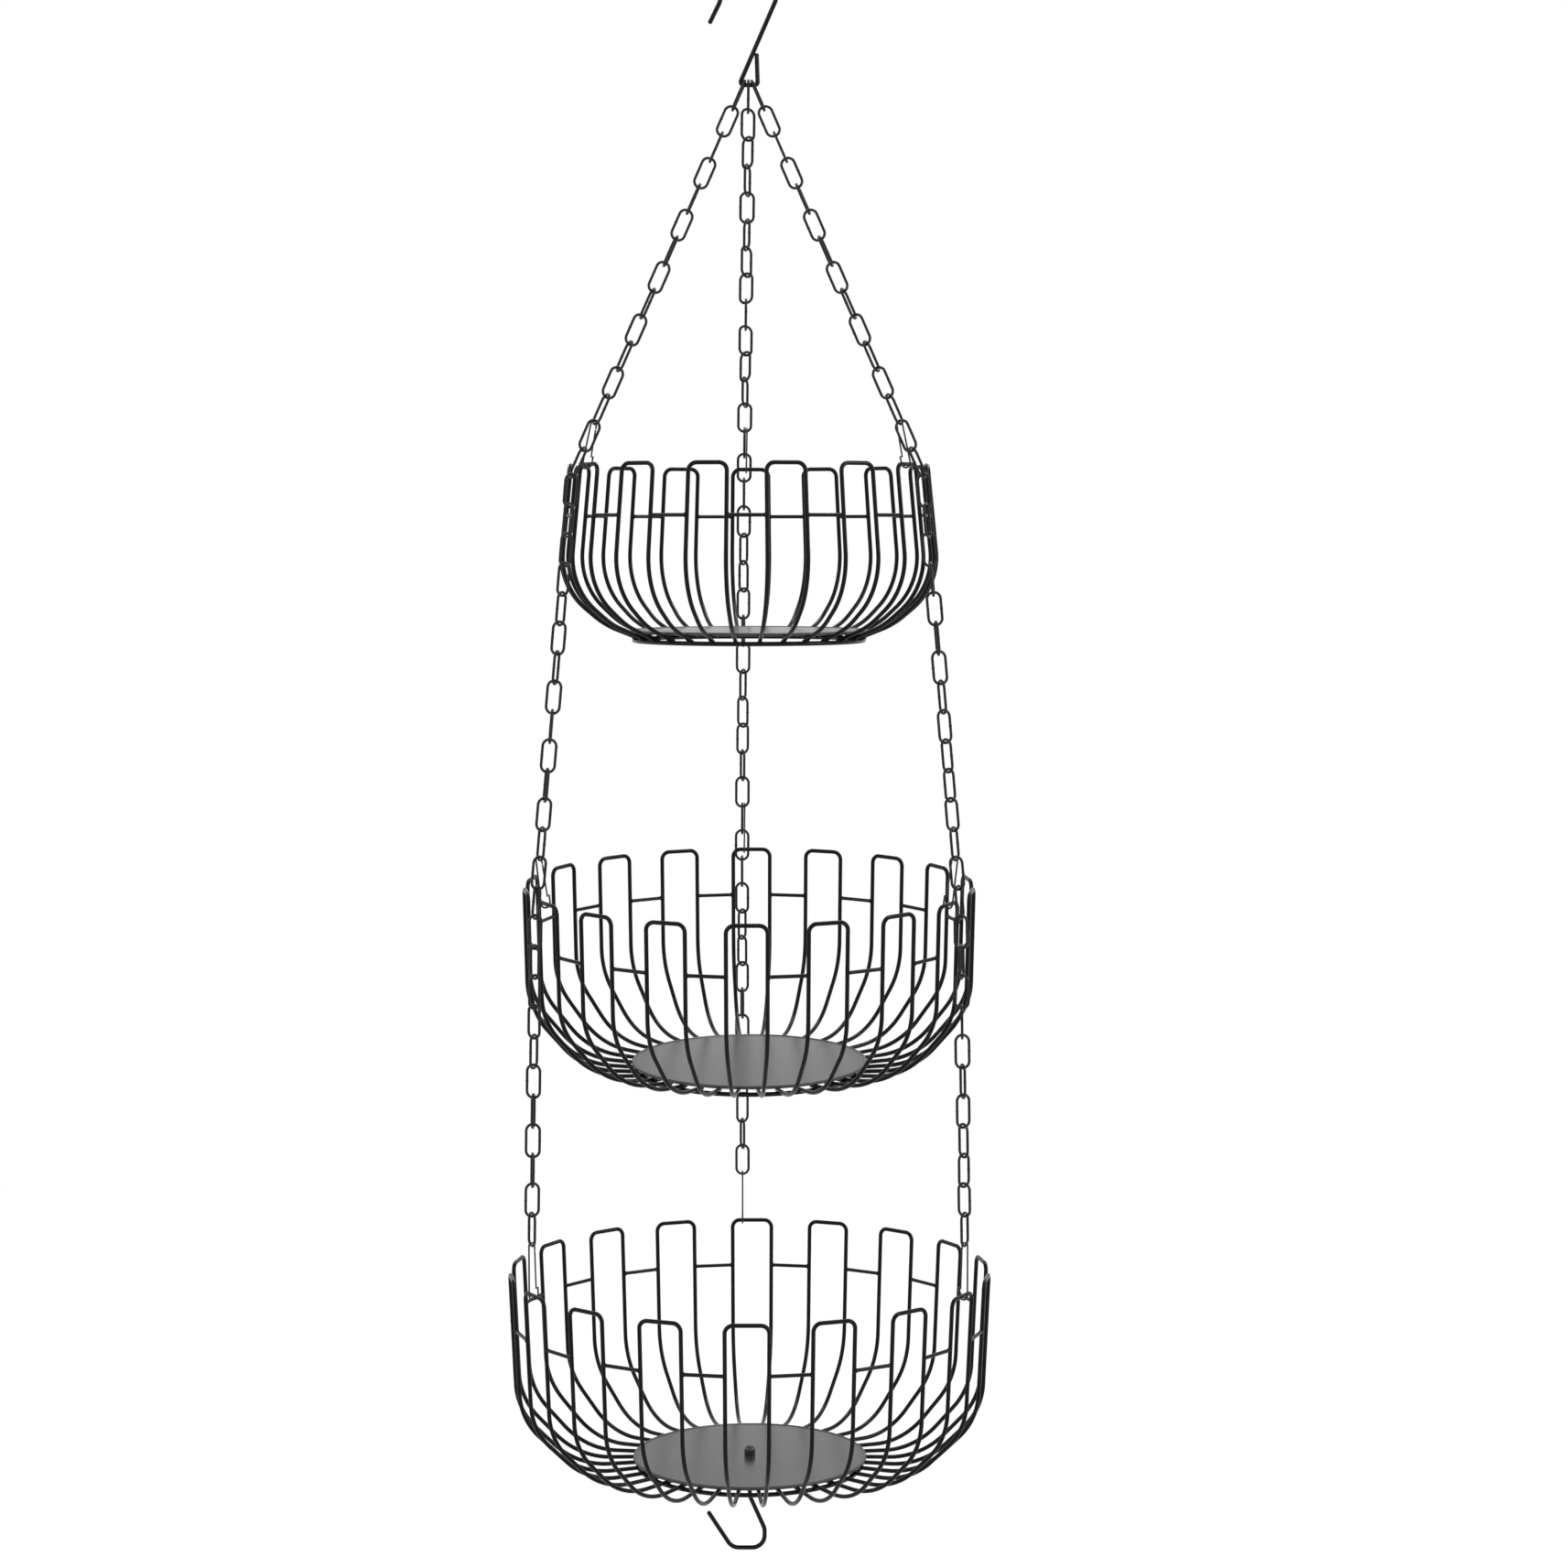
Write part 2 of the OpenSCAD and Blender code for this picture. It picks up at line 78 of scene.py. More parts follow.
# %% One class for readings
class Reading:
    """A value at a point of the surface. Arithmetic on it adds nodes to its tree."""

    def __init__(self, tree, socket=None):
        self.tree = tree
        self.socket = socket

    def node(self, kind, settings=(), sockets=(), out=0):
        made = self.tree.nodes.new(kind)
        for name, value in dict(settings).items():
            if name == "stops":
                self.fill_ramp(made.color_ramp, value)
            else:
                setattr(made, name, value)
        for name, value in dict(sockets).items():
            if isinstance(value, Reading):
                self.tree.links.new(value.socket, made.inputs[name])
            else:
                made.inputs[name].default_value = value
        return Reading(self.tree, made.outputs[out] if len(made.outputs) else None)

    @staticmethod
    def fill_ramp(ramp, stops):
        while len(ramp.elements) < len(stops):
            ramp.elements.new(1.0)
        for element, (place, grey) in zip(ramp.elements, stops):
            element.position = place
            element.color = (grey, grey, grey, 1.0)

    def sum(self, operation, first, second):
        return self.node("ShaderNodeMath", {"operation": operation}, {0: first, 1: second})

    def __add__(self, other):
        return self.sum("ADD", self, other)

    def __sub__(self, other):
        return self.sum("SUBTRACT", self, other)

    def __rsub__(self, other):
        return self.sum("SUBTRACT", other, self)

    def __mul__(self, other):
        return self.sum("MULTIPLY", self, other)

    __radd__ = __add__
    __rmul__ = __mul__


# %% Helpers that the finishes share
def new_finish(name):
    """An empty material, as a Reading to build on."""
    material = bpy.data.materials.new(name)
    material.use_nodes = True
    material.node_tree.nodes.clear()
    return material, Reading(material.node_tree)


def noise(tree, place, scale, detail=2.0, stretch=None):
    """Soft random hills, with about `scale` of them to the metre."""
    if stretch:
        place = tree.node("ShaderNodeMapping", {}, {"Vector": place, "Scale": stretch}, "Vector")
    return tree.node("ShaderNodeTexNoise", {}, {"Vector": place, "Scale": scale, "Detail": detail}, 0)


def ramp(tree, value, start, end):
    """0 below start, 1 above end, and a straight climb between."""
    return tree.node("ShaderNodeMapRange", {"clamp": True},
                     {"Value": value, "From Min": start, "From Max": end})


def blend(tree, share, first, second):
    """A colour between two, by the share of the second."""
    return tree.node("ShaderNodeMix", {"data_type": "RGBA"}, {0: share, 6: first, 7: second}, 2)


def grey(value, warmth=0.0):
    return (value * (1 + warmth), value, value * (1 - warmth), 1.0)


print("shader helpers ready")

# %% [markdown]
# ## The studio
# A product photograph like this one stands in white light from all sides, on a floor that fades
# into the backdrop. White comes from how camera and mirror rays see the world and the floor, not
# from strong lamps, so the black wire stays black. Below the baskets the floor still mixes in
# its own matt shading, which keeps a soft shadow there, and further out it fades to pure white.

# %% White all round
WORLD_LIGHT = 0.80
FLOOR_HEIGHT = -1.2
FLOOR_HALF = 60.0
FLOOR_SHADE = 0.25
SHADE_FROM = 0.4
SHADE_TO = 3.0


def seen_directly(tree):
    """1 for rays from the camera, a mirror or a glass, 0 for the light that spreads."""
    camera_ray = tree.node("ShaderNodeLightPath", out="Is Camera Ray")
    glossy_ray = tree.node("ShaderNodeLightPath", out="Is Glossy Ray")
    clear_ray = tree.node("ShaderNodeLightPath", out="Is Transmission Ray")
    return tree.node("ShaderNodeMath", {"operation": "ADD", "use_clamp": True},
                     {0: camera_ray + glossy_ray, 1: clear_ray})


world = bpy.data.worlds.new("white_studio")
world.use_nodes = True
world.node_tree.nodes.clear()
air = Reading(world.node_tree)
strength = seen_directly(air) * (1.0 - WORLD_LIGHT) + WORLD_LIGHT
glow = air.node("ShaderNodeBackground", {}, {"Color": (1, 1, 1, 1), "Strength": strength})
air.node("ShaderNodeOutputWorld", {}, {"Surface": glow})
bpy.context.scene.world = world

floor_finish, tree = new_finish("studio_floor")
matt = tree.node("ShaderNodeBsdfDiffuse", {}, {"Color": grey(0.90)})
white = tree.node("ShaderNodeEmission", {}, {"Color": (1, 1, 1, 1), "Strength": 1.0})
from_middle = tree.node("ShaderNodeVectorMath", {"operation": "LENGTH"},
                        {0: tree.node("ShaderNodeTexCoord", out="Object")}, "Value")
shade = FLOOR_SHADE * (1 - ramp(tree, from_middle, SHADE_FROM, SHADE_TO))
share = seen_directly(tree) * (1 - shade)
mixed = tree.node("ShaderNodeMixShader", {}, {0: share, 1: matt, 2: white})
tree.node("ShaderNodeOutputMaterial", {}, {"Surface": mixed})

corners = [(-FLOOR_HALF, -FLOOR_HALF), (FLOOR_HALF, -FLOOR_HALF),
           (FLOOR_HALF, FLOOR_HALF), (-FLOOR_HALF, FLOOR_HALF)]
floor_mesh = bpy.data.meshes.new("studio_floor")
floor_mesh.from_pydata([(x, y, FLOOR_HEIGHT) for x, y in corners], [], [(0, 1, 2, 3)])
floor = bpy.data.objects.new("studio_floor", floor_mesh)
floor_mesh.materials.append(floor_finish)
bpy.context.scene.collection.objects.link(floor)

# %% Soft boxes
# Each row: name, place, side in metres, watts
SOFT_BOXES = [
    ("soft_box_left", (-2.4, -1.6, 0.9), 0.8, 14.0),
    ("soft_box_right", (2.6, -0.9, 0.5), 0.7, 26.0),
    ("soft_box_top", (0.4, 0.9, 1.9), 0.8, 40.0),
]
AIM = Vector((0, 0, -0.55))

for name, place, side, watts in SOFT_BOXES:
    lamp = bpy.data.lights.new(name, "AREA")
    lamp.shape = "SQUARE"
    lamp.size = side
    lamp.energy = watts
    box = bpy.data.objects.new(name, lamp)
    box.location = place
    box.rotation_euler = (AIM - Vector(place)).to_track_quat("-Z", "Y").to_euler()
    bpy.context.scene.collection.objects.link(box)
    print(name, "radiance", round(watts / (math.pi * side * side), 2))

# %% [markdown]
# ## Where everything hangs
# The measured model keeps its shapes, but the welds and wire ends that come next need to know
# where the wires run. The basket is a simple rule: a half profile of four points, repeated round
# the axis, leaned a little and lowered to its height on the chains. The same numbers place the
# links of the chains.

# %% The baskets' rule
MM = 0.001
PETAL_WIRE = 2.6 * MM
TIE_WIRE = 2.3 * MM
RING_WIRE = 2.8 * MM
LINK_WIRE = 1.7 * MM
CLIP_WIRE = 1.1 * MM
HOOK_WIRE = 2.8 * MM
TIE_DROP = 31 * MM
RING_R = 72 * MM
LEG_END_R = 68 * MM
WELD = 0.5 * MM

BASKETS = {
    "top": {"rim_z": -0.308, "lean": -1.2, "petals": 15,
            "profile": [(0.112, 0), (0.1195, -0.0747), (0.0909, -0.099), (0.068, -0.108)]},
    "middle": {"rim_z": -0.572, "lean": 2.4, "petals": 18,
               "profile": [(0.142, 0), (0.1405, -0.075), (0.1075, -0.1135), (0.068, -0.1168)]},
    "bottom": {"rim_z": -0.820, "lean": -1.5, "petals": 18,
               "profile": [(0.153, 0), (0.149, -0.088), (0.111, -0.1255), (0.068, -0.124)]},
}


def hang(basket):
    """The turn and drop that put a basket's own point where it hangs."""
    drop = Matrix.Translation((0, 0, basket["rim_z"]))
    return drop @ Matrix.Rotation(math.radians(basket["lean"]), 4, "X")


def spot(radius, azimuth, height):
    """A point of a basket from its radius, azimuth in degrees and height."""
    a = math.radians(azimuth)
    return Vector((radius * math.cos(a), radius * math.sin(a), height))


def leg_azimuths(basket):
    """Both legs of each petal, counted from the back chain."""
    step = 360 / basket["petals"]
    return [90 + step * k + side * step / 4
            for k in range(basket["petals"]) for side in (-1, 1)]


for name, basket in BASKETS.items():
    print(name, "basket has", len(leg_azimuths(basket)), "legs")

# %% [markdown]
# ## Beads on wire
# Welds, the seam on a chain link and the rounded end of a wire are all a small bead set on the
# wire, so one Geometry Nodes tree makes them all. It takes points with a direction and a size,
# puts a ball of 80 faces on each, stretches it along the wire, varies its size a little by a
# seed, and pushes its skin in and out with noise. Spheres placed by hand would all be alike, and
# a boolean with the wires would be slow and hide nothing that the overlap doesn't already hide.

# %% The tree of beads
def bead_tree():
    tree = bpy.data.node_groups.new("beads_on_wire", "GeometryNodeTree")
    face = tree.interface
    face.new_socket("Points", in_out="INPUT", socket_type="NodeSocketGeometry")
    face.new_socket("Length to width", in_out="INPUT", socket_type="NodeSocketFloat")
    face.new_socket("Size spread", in_out="INPUT", socket_type="NodeSocketFloat")
    face.new_socket("Lump height", in_out="INPUT", socket_type="NodeSocketFloat")
    face.new_socket("Lumps per metre", in_out="INPUT", socket_type="NodeSocketFloat")
    face.new_socket("Seed", in_out="INPUT", socket_type="NodeSocketInt")
    face.new_socket("Finish", in_out="INPUT", socket_type="NodeSocketMaterial")
    face.new_socket("Beads", in_out="OUTPUT", socket_type="NodeSocketGeometry")
    plan = Reading(tree)
    given = tree.nodes.new("NodeGroupInput")

    def size(name):
        return Reading(tree, given.outputs[name])

    along = plan.node("GeometryNodeInputNamedAttribute", {"data_type": "FLOAT_VECTOR"},
                      {"Name": "along"})
    girth = plan.node("GeometryNodeInputNamedAttribute", {"data_type": "FLOAT"},
                      {"Name": "girth"})
    points = plan.node("GeometryNodeMeshToPoints", {}, {"Mesh": size("Points")})
    ball = plan.node("GeometryNodeMeshIcoSphere", {}, {"Radius": 1.0, "Subdivisions": 2})
    facing = plan.node("FunctionNodeAlignRotationToVector", {"axis": "Z"}, {"Vector": along})
    spread = plan.node("FunctionNodeRandomValue", {"data_type": "FLOAT"},
                       {2: 1 - size("Size spread"), 3: 1 + size("Size spread"),
                        "Seed": size("Seed")}, 1)
    width = girth * spread
    scale = plan.node("ShaderNodeCombineXYZ", {},
                      {"X": width, "Y": width, "Z": width * size("Length to width")})
    beads = plan.node("GeometryNodeInstanceOnPoints", {},
                      {"Points": points, "Instance": ball, "Rotation": facing, "Scale": scale})
    skin = plan.node("GeometryNodeRealizeInstances", {}, {"Geometry": beads})
    hills = plan.node("ShaderNodeTexNoise", {}, {"Scale": size("Lumps per metre")})
    push = plan.node("ShaderNodeVectorMath", {"operation": "SCALE"},
                     {0: plan.node("GeometryNodeInputNormal"),
                      "Scale": (hills - 0.5) * size("Lump height")})
    lumpy = plan.node("GeometryNodeSetPosition", {}, {"Geometry": skin, "Offset": push})
    smooth = plan.node("GeometryNodeSetShadeSmooth", {}, {"Geometry": lumpy})
    done = plan.node("GeometryNodeSetMaterial", {},
                     {"Geometry": smooth, "Material": size("Finish")})
    plan.node("NodeGroupOutput", {}, {"Beads": done})
    return tree


BEADS = bead_tree()
print("bead tree has", len(BEADS.nodes), "nodes")


# %% From points to a finished piece
def lay_beads(name, places, body, slot, finish, **sizes):
    """Makes one piece of beads at (point, direction, radius) places, riding on a body."""
    seedbed = bpy.data.meshes.new(name + "_points")
    seedbed.from_pydata([place for place, along, girth in places], [], [])
    seedbed.attributes.new("along", "FLOAT_VECTOR", "POINT")
    seedbed.attributes.new("girth", "FLOAT", "POINT")
    for i, (place, along, girth) in enumerate(places):
        seedbed.attributes["along"].data[i].vector = along
        seedbed.attributes["girth"].data[i].value = girth
    maker = bpy.data.objects.new(name + "_maker", seedbed)
    bpy.context.scene.collection.objects.link(maker)

    growth = maker.modifiers.new("beads", "NODES")
    growth.node_group = BEADS
    values = dict(sizes, Finish=finish)
    for item in BEADS.interface.items_tree:
        if item.in_out == "INPUT" and item.name in values:
            growth[item.identifier] = values[item.name]

    graph = bpy.context.evaluated_depsgraph_get()
    mesh = bpy.data.meshes.new_from_object(maker.evaluated_get(graph))
    mesh.name = name
    bpy.data.objects.remove(maker)
    piece = bpy.data.objects.new(name, mesh)
    bpy.context.scene.collection.objects.link(piece)
    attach(piece, body)
    print(name, "has", len(places), "beads and", len(mesh.polygons), "faces")
    return piece


# %% [markdown]
# ## Coated wire
# The basket wire is mild steel, bent and welded, then dipped or sprayed black and baked. The coat
# is nearly black, half glossy, and never quite even: it runs a little thicker on one stretch than
# the next, and has the fine ripple that painters call orange peel. Two noises of very different
# size give these, one for tone and gloss and one for the ripple. Rubbed spots, scattered by
# another noise, show paler, duller coat.

# %% The coat
def coated_steel(name, tone=0.0035, gloss=0.22, shine=0.12, ripple=0.000012, rubbed=0.3):
    """Black baked coat on steel. `shine` is the mirror level, `gloss` the base roughness."""
    material, tree = new_finish(name)
    place = tree.node("ShaderNodeTexCoord", out="Object")
    drift = noise(tree, place, 24, 3)
    peel = noise(tree, place, 1100, 2)
    dust = ramp(tree, noise(tree, place, 420, 4), 0.60, 0.78)
    rub = ramp(tree, noise(tree, place, 95, 5), 0.60, 0.72) * rubbed

    colour = blend(tree, drift, grey(tone * 0.7, -0.02), grey(tone * 1.5, 0.01))
    colour = blend(tree, rub * 0.6, colour, grey(0.022, 0.02))
    colour = blend(tree, dust * 0.25, colour, grey(0.035, 0.03))
    rough = drift * 0.14 + rub * 0.22 + dust * 0.12 + (gloss - 0.07)
    height = peel + dust * 0.4
    skin = tree.node("ShaderNodeBump", {}, {"Strength": 0.6, "Distance": ripple, "Height": height})
    coat = tree.node("ShaderNodeBsdfPrincipled", {},
                     {"Base Color": colour, "Roughness": rough, "Normal": skin,
                      "Specular IOR Level": shine})
    tree.node("ShaderNodeOutputMaterial", {}, {"Surface": coat})
    return material


petal_coat = coated_steel("petal_wire_coat")
tie_coat = coated_steel("tie_bar_coat", tone=0.004, gloss=0.20, shine=0.16)
ring_coat = coated_steel("base_ring_coat", tone=0.004, gloss=0.24)
hook_coat = coated_steel("hook_coat", tone=0.0035, gloss=0.20, shine=0.15, rubbed=0.45)
print("coats:", petal_coat.name, tie_coat.name, ring_coat.name, hook_coat.name)

# %% [markdown]
# ## Welds
# Each tie bar is butted between two legs and each leg sits on the base ring, and all are spot
# welded. The metal squeezes out in a low collar, a little lumpy, and the coat fills it in. A
# rougher, thicker coat sits on the beads.

# %% The weld beads
weld_coat = coated_steel("weld_coat", tone=0.005, gloss=0.42, shine=0.15, ripple=0.00008, rubbed=0.2)


def tie_welds(basket):
    (rim_r, _), (belly_r, belly_z) = basket["profile"][:2]
    radius = rim_r + (belly_r - rim_r) * TIE_DROP / -belly_z
    step = 360 / basket["petals"]
    half = math.radians(step / 4)
    reach = radius * math.sin(half) - PETAL_WIRE / 2 + 0.1 * MM
    places = []
    for k in range(basket["petals"]):
        turn = Matrix.Rotation(math.radians(90 + step * (k + 0.5)), 4, "Z")
        frame_of_tie = hang(basket) @ turn
        for side in (-1, 1):
            end = Vector((radius * math.cos(half), side * reach, -TIE_DROP))
            along = frame_of_tie.to_3x3() @ Vector((0, side, 0))
            places.append((frame_of_tie @ end, along, TIE_WIRE / 2 + 0.4 * MM))
    return places


def ring_welds(basket):
    (knee_r, knee_z), (end_r, end_z) = basket["profile"][2:]
    slope = math.atan2(knee_z - end_z, knee_r - end_r)
    leg_z = end_z + (knee_z - end_z) * (RING_R - end_r) / (knee_r - end_r)
    touch_z = leg_z - PETAL_WIRE / 2 / math.cos(slope) + WELD / 2
    up = hang(basket).to_3x3() @ Vector((0, 0, 1))
    return [(hang(basket) @ spot(RING_R, azimuth, touch_z), up, PETAL_WIRE / 2 + 0.35 * MM)
            for azimuth in leg_azimuths(basket)]


for seed, (name, basket) in enumerate(BASKETS.items()):
    places = tie_welds(basket) + ring_welds(basket)
    lay_beads(name + "_welds", places, name + "_tier", "wire", weld_coat,
              **{"Length to width": 0.6, "Size spread": 0.12, "Lump height": 0.35 * MM,
                 "Lumps per metre": 900.0, "Seed": 11 + seed})

# %% [markdown]
# ## Rounded wire ends
# Wire is cropped with shears and the coat rounds the cut off. The legs end like this under each
# floor, and so do both hooks, where a hand or a tea towel would catch on a sharp edge. The same
# bead, as round as the wire and without lumps, closes each end.


# %% The ends of the legs
def leg_ends(basket):
    (knee_r, knee_z), (end_r, end_z) = basket["profile"][2:]
    places = []
    for azimuth in leg_azimuths(basket):
        knee = hang(basket) @ spot(knee_r, azimuth, knee_z)
        end = hang(basket) @ spot(end_r, azimuth, end_z)
        places.append((end, (end - knee).normalized(), PETAL_WIRE / 2 * 0.99))
    return places


for name, basket in BASKETS.items():
    lay_beads(name + "_leg_ends", leg_ends(basket), name + "_tier", "wire", petal_coat,
              **{"Length to width": 0.7, "Size spread": 0.0, "Lump height": 0.0,
                 "Lumps per metre": 1.0, "Seed": 1})

# %% The ends of the hooks
CREST_W = 34.4 * MM
CREST_Z = HOOK_WIRE / 2
MOUTH_Z = CREST_Z - 24 * MM
SEAT_Z = CREST_Z - 75 * MM
SEAT_W = 11.5 * MM
PENDANT_DROP = 182 * MM
PENDANT_R = 11.5 * MM

mouth_end = Vector((-CREST_W / 2 - 6.5 * MM, 0, MOUTH_Z - 13 * MM))
mouth_along = mouth_end - Vector((-CREST_W / 2, 0, MOUTH_Z))
return_end = Vector((SEAT_W / 2 - 0.6 * MM, 0, SEAT_Z + 18.5 * MM))
return_along = return_end - Vector((SEAT_W / 2, 0, SEAT_Z))
lowest = hang(BASKETS["bottom"])
tip_end = lowest @ Vector((-PENDANT_R - 15 * MM, 0, 23 * MM - PENDANT_DROP))
tip_along = tip_end - lowest @ Vector((-PENDANT_R, 0, -PENDANT_DROP))

round_end = {"Length to width": 0.7, "Size spread": 0.0, "Lump height": 0.0,
             "Lumps per metre": 1.0, "Seed": 1}
lay_beads("top_hook_ends",
          [(mouth_end, mouth_along.normalized(), HOOK_WIRE / 2 * 0.99),
           (return_end, return_along.normalized(), HOOK_WIRE / 2 * 0.99)],
          "hook", "wire", hook_coat, **round_end)
lay_beads("bottom_hook_end", [(tip_end, tip_along.normalized(), HOOK_WIRE / 2 * 0.99)],
          "pendant", "wire", hook_coat, **round_end)

# %% [markdown]
# ## The chains
# The links are thinner wire, bent to long ovals, welded shut on one straight side and coated
# with the chain already joined. They swing and rub on each other, so the coat wears where one
# link hangs in the next. That place comes back once for each link, so the wear follows from how
# far down the run a point is, counted in links.

# %% Runs of chain
LINK_W = 10 * MM
LINK_PITCH = 18.3 * MM
KINK_DROP = 7 * MM
STAND_OFF = {"top": 11 * MM, "middle": 8 * MM}
END_OUT = 1 * MM
END_RISE = 33 * MM
SLIDE = {"top": 4.5 * MM, "middle": 6.5 * MM, "bottom": 6.5 * MM}
AZIMUTH = {"left": 210, "right": 330, "back": 90}
TWIST = {"left": 90, "right": 90, "back": 74}
PLAY = 0.4 * MM
CLIP_LINK_BACK = 2


def outward(azimuth):
    return spot(1.0, azimuth, 0.0)


def kink(tier, azimuth):
    """Where a chain turns down outside a rim, or ends above the bottom one."""
    basket = BASKETS[tier]
    left = -SLIDE[tier] if azimuth == AZIMUTH["back"] else 0.0
    rim = hang(basket) @ (basket["profile"][0][0] * outward(azimuth) + Vector((left, 0, 0)))
    if tier == "bottom":
        return rim + END_OUT * outward(azimuth) + Vector((0, 0, END_RISE))
    return rim + STAND_OFF[tier] * outward(azimuth) - Vector((0, 0, KINK_DROP))


def chain_run(tier, side):
    """Start, direction, pitch, number of links, first turn and twist of one run."""
    azimuth = AZIMUTH[side]
    end = kink(tier, azimuth)
    if tier == "top":
        gap = LINK_WIRE + HOOK_WIRE / 2
        seat = Vector((gap * round(math.cos(math.radians(azimuth))), 0, SEAT_Z))
        start = seat - (HOOK_WIRE / 2 + PLAY / 2) * (end - seat).normalized()
    else:
        start = kink({"middle": "top", "bottom": "middle"}[tier], azimuth)
    length = (end - start).length
    count = round(length / LINK_PITCH)
    a = math.radians(azimuth)
    first = math.degrees(math.atan2(-math.cos(a), -math.sin(a))) if tier == "top" else 0.0
    clip_link = count - 1 - (0 if tier == "bottom" else CLIP_LINK_BACK)
    halves = math.floor((TWIST[side] * clip_link - 90 + first) / 180 + 0.5)
    twist = (90 - first + 180 * halves) / clip_link
    return {"start": start, "down": (end - start).normalized(), "pitch": length / count,
            "count": count, "first": first, "twist": twist, "clip_link": clip_link,
            "azimuth": azimuth}


RUNS = {(tier, side): chain_run(tier, side) for tier in BASKETS for side in AZIMUTH}
print("links in each run:", [run["count"] for run in RUNS.values()])

# %% [markdown]
# The finish of a chain takes the run's start, direction and pitch. It projects each point on the
# run and measures how near it is to a joint between two links. There the coat is polished and
# thin, and a little steel glints through.


# %% The finish of a run
def chain_finish(name, run):
    material, tree = new_finish(name)
    place = tree.node("ShaderNodeTexCoord", out="Object")
    from_start = tree.node("ShaderNodeVectorMath", {"operation": "SUBTRACT"},
                           {0: place, 1: run["start"]})
    down = tree.node("ShaderNodeVectorMath", {"operation": "DOT_PRODUCT"},
                     {0: from_start, 1: run["down"]}, "Value")
    links_down = down * (1 / run["pitch"])
    to_joint = tree.node("ShaderNodeMath", {"operation": "PINGPONG"}, {0: links_down, 1: 0.5})
    bearing = 1 - ramp(tree, to_joint, 0.02, 0.11)
    patchy = noise(tree, place, 700, 4)
    worn = bearing * ramp(tree, patchy, 0.42, 0.62)
    drift = noise(tree, place, 60, 3)

    colour = blend(tree, drift, grey(0.005), grey(0.010))
    colour = blend(tree, worn * 0.4, colour, grey(0.08, 0.04))
    rough = drift * 0.12 - bearing * 0.08 + 0.30
    skin = tree.node("ShaderNodeBump", {}, {"Strength": 0.5, "Distance": 0.00003,
                                            "Height": noise(tree, place, 1500, 2)})
    coat = tree.node("ShaderNodeBsdfPrincipled", {},
                     {"Base Color": colour, "Roughness": rough, "Metallic": worn * 0.5,
                      "Normal": skin, "Specular IOR Level": 0.22})
    tree.node("ShaderNodeOutputMaterial", {}, {"Surface": coat})
    return material


CHAIN_FINISH = {(tier, side): chain_finish("_".join((tier, side, "chain_finish")), run)
                for (tier, side), run in RUNS.items()}
print("chain finishes:", len(CHAIN_FINISH))

# %% [markdown]
# A link's ends meet in the middle of one straight side and are butt welded. The seam is a short
# bulge round the wire.


# %% The seams of the links
def link_seams(run, first, last):
    around = Vector((-math.sin(math.radians(run["azimuth"])),
                     math.cos(math.radians(run["azimuth"])), 0))
    down = run["down"]
    across = (around - around.dot(down) * down).normalized()
    flat = down.cross(across)
    places = []
    for j in range(first, last + 1):
        past = j - run["clip_link"]
        turn = math.radians(90 * (1 + past) if past > 0 else run["first"] + j * run["twist"])
        side = math.cos(turn) * flat + math.sin(turn) * across
        if j % 2:
            side = -side
        middle = run["start"] + (j + 0.5) * run["pitch"] * down
        places.append((middle + (LINK_W - LINK_WIRE) / 2 * side, down, LINK_WIRE / 2 + 0.16 * MM))
    return places


SEAM_SIZES = {"Length to width": 1.15, "Size spread": 0.05, "Lump height": 0.12 * MM,
              "Lumps per metre": 1500.0, "Seed": 5}
for side in AZIMUTH:
    top_run, middle_run, bottom_run = [RUNS[tier, side] for tier in BASKETS]
    lay_beads("upper_seams_" + side, link_seams(top_run, 0, top_run["count"] - 1),
              "top_tier", "chain", CHAIN_FINISH["top", side], **SEAM_SIZES)
    lay_beads("middle_seams_" + side, link_seams(middle_run, 0, middle_run["clip_link"]),
              "middle_run_" + side, "chain", CHAIN_FINISH["middle", side], **SEAM_SIZES)
    lay_beads("end_seams_" + side,
              link_seams(middle_run, middle_run["clip_link"] + 1, middle_run["count"] - 1),
              "middle_tier", "chain", CHAIN_FINISH["middle", side], **SEAM_SIZES)
    lay_beads("lower_seams_" + side, link_seams(bottom_run, 0, bottom_run["count"] - 1),
              "lower_run_" + side, "chain", CHAIN_FINISH["bottom", side], **SEAM_SIZES)

# %% [markdown]
# ## The clips
# The small snap clips are spring steel, drawn hard and blackened rather than painted, so they
# have a tighter, more metallic gloss than the baskets, with fine lines from the drawing die and
# brown-grey patches of handling, scattered by a noise.


# %% Blackened spring wire
def blackened_spring(name, gloss=0.26):
    material, tree = new_finish(name)
    place = tree.node("ShaderNodeTexCoord", out="Object")
    drift = noise(tree, place, 150, 3)
    lines = noise(tree, place, 2200, 2, stretch=(1.0, 1.0, 0.06))
    handled = ramp(tree, noise(tree, place, 320, 4), 0.54, 0.70)
    colour = blend(tree, drift, grey(0.010), grey(0.020, 0.02))
    colour = blend(tree, handled * 0.5, colour, grey(0.055, 0.10))
    rough = drift * 0.10 + handled * 0.12 + gloss
    skin = tree.node("ShaderNodeBump", {}, {"Strength": 0.4, "Distance": 0.00002, "Height": lines})
    steel = tree.node("ShaderNodeBsdfPrincipled", {},
                      {"Base Color": colour, "Roughness": rough, "Metallic": handled * 0.35,
                       "Normal": skin, "Specular IOR Level": 0.35})
    tree.node("ShaderNodeOutputMaterial", {}, {"Surface": steel})
    return material


clip_finish = blackened_spring("clip_spring_wire")
gate_finish = blackened_spring("gate_spring_wire", gloss=0.22)
print("spring finishes:", clip_finish.name, gate_finish.name)
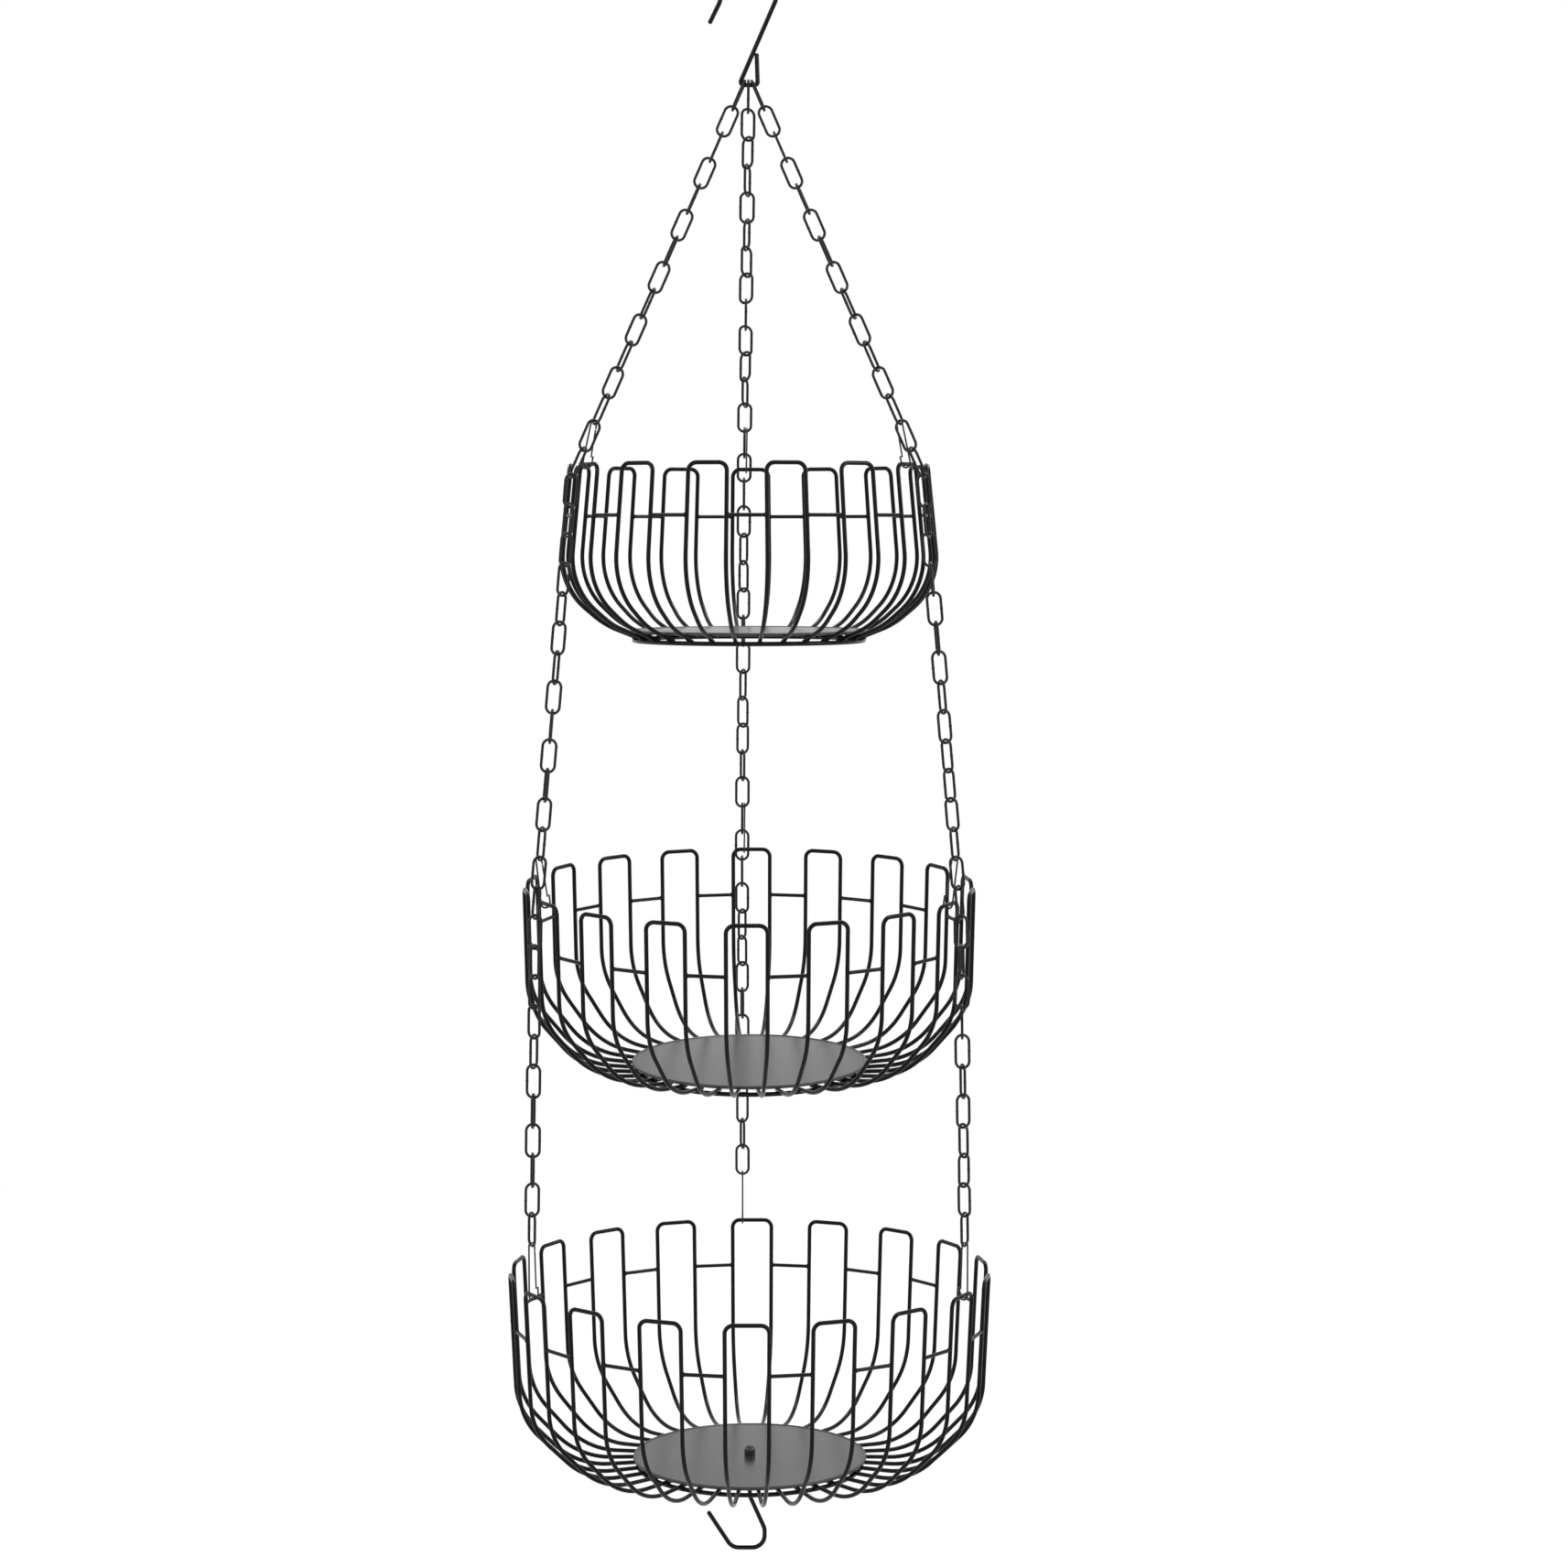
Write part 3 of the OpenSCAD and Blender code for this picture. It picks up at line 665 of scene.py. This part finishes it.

# %% [markdown]
# ## The floors
# Each floor is a loose disc of thin sheet with a rolled edge, sprayed satin black. In the
# photograph it looks mid grey, because it is seen nearly edge on and mirrors the white room, the
# more so the flatter the view: the top floor looks palest. That is Fresnel reflection, which the
# shader gives by itself, so the paint is written black and its gloss is tuned. The rolled edge
# alone gets a painted highlight, a lighter grey blended into its colour, and a rougher coat. Sheet
# that was sprayed lying down has a slow wave, a little settled dust and hair-fine scratches.


# %% The floor paint
def floor_paint(name, centre):
    material, tree = new_finish(name)
    place = tree.node("ShaderNodeTexCoord", out="Object")
    from_centre = tree.node("ShaderNodeVectorMath", {"operation": "SUBTRACT"},
                            {0: place, 1: centre})
    distance = tree.node("ShaderNodeVectorMath", {"operation": "LENGTH"}, {0: from_centre}, "Value")
    # rim: the outer band of the rolled edge, which gets a painted highlight and a rougher coat
    rim = ramp(tree, distance, 0.0715, 0.0745)
    wave = noise(tree, place, 30, 2)
    peel = noise(tree, place, 650, 3)
    specks = ramp(tree, noise(tree, place, 1300, 3), 0.70, 0.80)
    hair_x = ramp(tree, noise(tree, place, 240, 2, stretch=(0.05, 2.2, 1.0)), 0.67, 0.70)
    hair_y = ramp(tree, noise(tree, place, 260, 2, stretch=(2.0, 0.06, 1.0)), 0.68, 0.71)
    hair = hair_x + hair_y

    colour = blend(tree, wave, grey(0.016), grey(0.022))
    colour = blend(tree, specks * 0.3, colour, grey(0.08, 0.03))
    # painted highlight: the rolled edge is blended to a lighter grey
    colour = blend(tree, rim * 0.35, colour, grey(0.035))
    rough = wave * 0.06 + specks * 0.10 + hair * 0.03 + rim * 0.08 + 0.25
    height = wave * 3.0 + peel * 0.3 + specks * 0.2 - hair * 0.1
    skin = tree.node("ShaderNodeBump", {}, {"Strength": 0.25, "Distance": 0.00003, "Height": height})
    paint = tree.node("ShaderNodeBsdfPrincipled", {},
                      {"Base Color": colour, "Roughness": rough, "Normal": skin,
                       "Specular IOR Level": 0.45})
    tree.node("ShaderNodeOutputMaterial", {}, {"Surface": paint})
    return material


FLOOR_PAINT = {}
for name in BASKETS:
    low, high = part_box(name + "_plate")
    FLOOR_PAINT[name] = floor_paint(name + "_floor_paint", (low + high) / 2)
    print(name, "floor spans", round(high[0] - low[0], 4), "m")

# %% [markdown]
# ## The cap nut
# The bottom hook's threaded shank comes up through the lowest floor and a small domed nut holds
# it. Such nuts are turned and plated in gloss black, so this is the shiniest spot of all, with
# faint rings from the lathe round its axis.

# %% The nut's plating
low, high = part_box("cap_nut")
nut_axis = (low + high) / 2
nut_plating, tree = new_finish("nut_plating")
place = tree.node("ShaderNodeTexCoord", out="Object")
from_axis = tree.node("ShaderNodeVectorMath", {"operation": "SUBTRACT"}, {0: place, 1: nut_axis})
apart = tree.node("ShaderNodeSeparateXYZ", {}, {0: from_axis}, "Z")
rings = tree.node("ShaderNodeMath", {"operation": "SINE"}, {0: apart * 26000})
cloud = noise(tree, place, 500, 3)
colour = blend(tree, cloud, grey(0.008), grey(0.018))
skin = tree.node("ShaderNodeBump", {}, {"Strength": 0.25, "Distance": 0.00001,
                                        "Height": rings * 0.5 + cloud})
plating = tree.node("ShaderNodeBsdfPrincipled", {},
                    {"Base Color": colour, "Roughness": cloud * 0.1 + 0.12, "Normal": skin,
                     "Specular IOR Level": 0.6})
tree.node("ShaderNodeOutputMaterial", {}, {"Surface": plating})
print("nut is", round(high[2] - low[2], 4), "m high")

# %% [markdown]
# ## Dress the measured model
# Each node of the measured model keeps its mesh and gets its finish. The name says what it is.


# %% Give each node its finish
def finish_for(node):
    words = node.split("_")
    tier = {"upper": "top", "lower": "bottom"}.get(words[0], words[0])
    if node.endswith("_hook"):
        return hook_coat
    if node == "cap_nut":
        return nut_plating
    if node == "middle_chain_ends":
        return CHAIN_FINISH["middle", "back"]
    kind = words[1]
    if kind == "chain":
        return CHAIN_FINISH[tier, words[2]]
    return {"clip": clip_finish, "gate": gate_finish, "petals": petal_coat, "ties": tie_coat,
            "ring": ring_coat, "plate": FLOOR_PAINT.get(tier)}[kind]


for node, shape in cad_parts.items():
    for held in shape.material_slots:
        held.material = finish_for(node)
print("dressed", len(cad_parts), "nodes")
